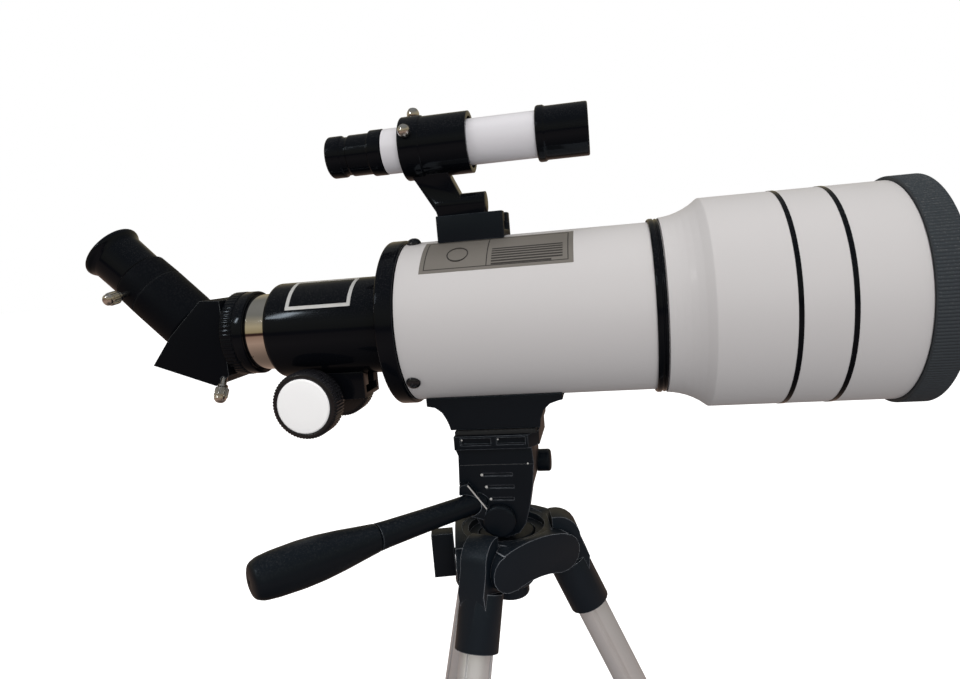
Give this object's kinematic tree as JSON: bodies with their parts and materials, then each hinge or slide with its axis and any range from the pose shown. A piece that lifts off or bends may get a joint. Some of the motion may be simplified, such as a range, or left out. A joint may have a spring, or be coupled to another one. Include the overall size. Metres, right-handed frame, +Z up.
{
  "type": "refractor telescope on a tripod",
  "caption": "Short refractor telescope with rack focuser, prism diagonal, eyepiece and finder scope on a pan and tilt head over a folding tripod.",
  "frame": {"origin": "middle of the product's footprint box, on the floor", "axes": "+X along the optical axis towards the objective, +Z up, focuser knobs along Y"},
  "size_m": [0.4148, 0.2794, 0.5424],
  "materials": {
    "white_enamel": "warm white gloss enamel",
    "finder_white": "white gloss",
    "black_gloss": "moulded gloss",
    "black_satin": "fine satin grain",
    "knob_black": "knurled rim with a silver face",
    "rubber": "ribbed",
    "chrome": "polished",
    "steel": "knurled, bright",
    "aluminium": "anodised satin",
    "leg_foot": "anodised, with a rubber foot",
    "brass": "cut teeth",
    "black_screw": "black oxide",
    "lens_glass": "coated"
  },
  "bodies": {
    "shoulder": {"shoulder": "black_satin"},
    "pan_base": {"pan_base": "black_satin", "pan_spindle": "aluminium"},
    "tilt_head": {"tilt_body": "black_satin", "tilt_pivot": "black_satin"},
    "handle": {"pan_handle": "black_satin", "handle_grip": "rubber"},
    "flip_knob": {"flip_knob": "black_satin"},
    "telescope": {"head_platform": "black_satin", "platform_pad": "rubber", "camera_screw": "steel", "mount_foot": "black_satin", "main_tube": "white_enamel", "rear_cell": "black_gloss", "rear_cell_screw_1": "black_screw", "rear_cell_screw_2": "black_screw", "rear_cell_screw_3": "black_screw", "objective_cell": "black_satin", "objective_lens": "lens_glass", "lens_ring": "black_satin", "tube_band": "black_satin", "focuser_body": "black_gloss", "pinion_block": "black_satin", "finder_base": "black_satin"},
    "dew_shield": {"dew_shield": "white_enamel", "accent_band_1": "black_satin", "accent_band_2": "black_satin", "grip_ring": "rubber"},
    "focus_drive": {"pinion_shaft": "steel", "focus_knob_near": "knob_black", "focus_knob_far": "knob_black"},
    "draw_tube": {"draw_tube": "chrome", "draw_rack": "brass", "adapter_ring": "black_gloss"},
    "housing_screw": {"housing_thumbscrew": "steel"},
    "diagonal": {"prism_housing": "black_satin", "prism": "lens_glass", "diagonal_barrel": "chrome", "eyepiece_holder": "black_gloss"},
    "holder_screw": {"holder_thumbscrew": "steel"},
    "eyepiece": {"eyepiece_body": "black_gloss", "eye_lens": "lens_glass"},
    "finder_mount": {"finder_bracket": "black_gloss"},
    "finder_screw_1": {"finder_screw_1": "steel"},
    "finder_screw_2": {"finder_screw_2": "steel"},
    "finder": {"finder_tube": "finder_white", "finder_hood": "black_gloss", "finder_lens": "lens_glass"},
    "finder_focus": {"finder_eyepiece": "black_gloss"},
    "pan_lock": {"pan_lock": "black_satin"},
    "leg_1": {"leg_1_sleeve": "black_satin", "leg_1_tube": "aluminium"},
    "leg_1_lower": {"leg_1_lower": "leg_foot"},
    "leg_2": {"leg_2_sleeve": "black_satin", "leg_2_tube": "aluminium"},
    "leg_2_lower": {"leg_2_lower": "leg_foot"},
    "leg_3": {"leg_3_sleeve": "black_satin", "leg_3_tube": "aluminium"},
    "leg_3_lower": {"leg_3_lower": "leg_foot"}
  },
  "joints": [
    {"name": "pan", "type": "hinge", "parent": "shoulder", "child": "pan_base", "pos_m": [0.0127, 0.0159, 0.32563], "axis": [0, 0, 1], "continuous": true},
    {"name": "tilt", "type": "hinge", "parent": "pan_base", "child": "tilt_head", "pos_m": [0.0127, 0.0159, 0.33493], "axis": [0, 1, 0], "range_deg": [-30, 30]},
    {"name": "handle_twist", "type": "hinge", "parent": "tilt_head", "child": "handle", "pos_m": [0.0037, 0.0044, 0.34363], "axis": [-0.6858, -0.7278, 0], "continuous": true},
    {"name": "side_flip", "type": "hinge", "parent": "tilt_head", "child": "telescope", "pos_m": [0.0127, 0.0327, 0.35483], "axis": [-1, 0, 0], "range_deg": [0, 85]},
    {"name": "flip_knob_turn", "type": "hinge", "parent": "tilt_head", "child": "flip_knob", "pos_m": [0.0127, 0.0327, 0.35483], "axis": [1, 0, 0], "continuous": true},
    {"name": "shield_slide", "type": "slide", "parent": "telescope", "child": "dew_shield", "axis": [1, 0, 0], "range_m": [0, 0.02]},
    {"name": "draw_slide", "type": "slide", "parent": "telescope", "child": "draw_tube", "axis": [1, 0, 0], "range_m": [-0.026, 0.01]},
    {"name": "focus_turn", "type": "hinge", "parent": "telescope", "child": "focus_drive", "pos_m": [-0.0788, 0.0159, 0.40013], "axis": [0, 1, 0], "range_deg": [-300, 116]},
    {"name": "diagonal_turn", "type": "hinge", "parent": "draw_tube", "child": "diagonal", "pos_m": [-0.1373, 0.0159, 0.43563], "axis": [1, 0, 0], "continuous": true},
    {"name": "housing_screw_turn", "type": "hinge", "parent": "diagonal", "child": "housing_screw", "pos_m": [-0.1283, 0.00163, 0.4151], "axis": [0, -0.5708, -0.8211], "continuous": true},
    {"name": "holder_screw_turn", "type": "hinge", "parent": "diagonal", "child": "holder_screw", "pos_m": [-0.17834, -0.00351, 0.46158], "axis": [-0.1698, -0.9707, -0.1698], "continuous": true},
    {"name": "eyepiece_slide", "type": "slide", "parent": "diagonal", "child": "eyepiece", "axis": [-0.7071, 0, 0.7071], "range_m": [0, 0.018]},
    {"name": "finder_slide", "type": "slide", "parent": "telescope", "child": "finder_mount", "axis": [-1, 0, 0], "range_m": [0, 0.03]},
    {"name": "finder_screw_1_turn", "type": "hinge", "parent": "finder_mount", "child": "finder_screw_1", "pos_m": [-0.0179, -0.00291, 0.52873], "axis": [0, -0.9404, 0.3401], "continuous": true},
    {"name": "finder_screw_2_turn", "type": "hinge", "parent": "finder_mount", "child": "finder_screw_2", "pos_m": [-0.0179, 0.0199, 0.54153], "axis": [0, 0.2, 0.9798], "continuous": true},
    {"name": "finder_aim", "type": "slide", "parent": "finder_mount", "child": "finder", "axis": [1, 0, 0], "range_m": [-0.008, 0.008]},
    {"name": "finder_focus_slide", "type": "slide", "parent": "finder", "child": "finder_focus", "axis": [-1, 0, 0], "range_m": [0, 0.005]},
    {"name": "pan_lock_turn", "type": "hinge", "parent": "shoulder", "child": "pan_lock", "pos_m": [-0.01664, 0.00966, 0.31363], "axis": [-0.9781, -0.2079, 0], "continuous": true},
    {"name": "leg_1_hinge", "type": "hinge", "parent": "shoulder", "child": "leg_1", "pos_m": [0.03764, 0.0212, 0.31763], "axis": [-0.2079, 0.9781, 0], "range_deg": [0, 22]},
    {"name": "leg_1_extend", "type": "slide", "parent": "leg_1", "child": "leg_1_lower", "axis": [0.3664, 0.0779, -0.9272], "range_m": [0, 0.18]},
    {"name": "leg_2_hinge", "type": "hinge", "parent": "shoulder", "child": "leg_2", "pos_m": [-0.00436, 0.03485, 0.31763], "axis": [-0.7431, -0.6691, 0], "range_deg": [0, 22]},
    {"name": "leg_2_extend", "type": "slide", "parent": "leg_2", "child": "leg_2_lower", "axis": [-0.2507, 0.2784, -0.9272], "range_m": [0, 0.18]},
    {"name": "leg_3_hinge", "type": "hinge", "parent": "shoulder", "child": "leg_3", "pos_m": [0.00482, -0.00835, 0.31763], "axis": [0.9511, -0.309, 0], "range_deg": [0, 22]},
    {"name": "leg_3_extend", "type": "slide", "parent": "leg_3", "child": "leg_3_lower", "axis": [-0.1158, -0.3563, -0.9272], "range_m": [0, 0.18]}
  ],
  "couplings": [
    {"joint": "focus_turn", "follows": "draw_slide", "rad_per_m": 200}
  ]
}
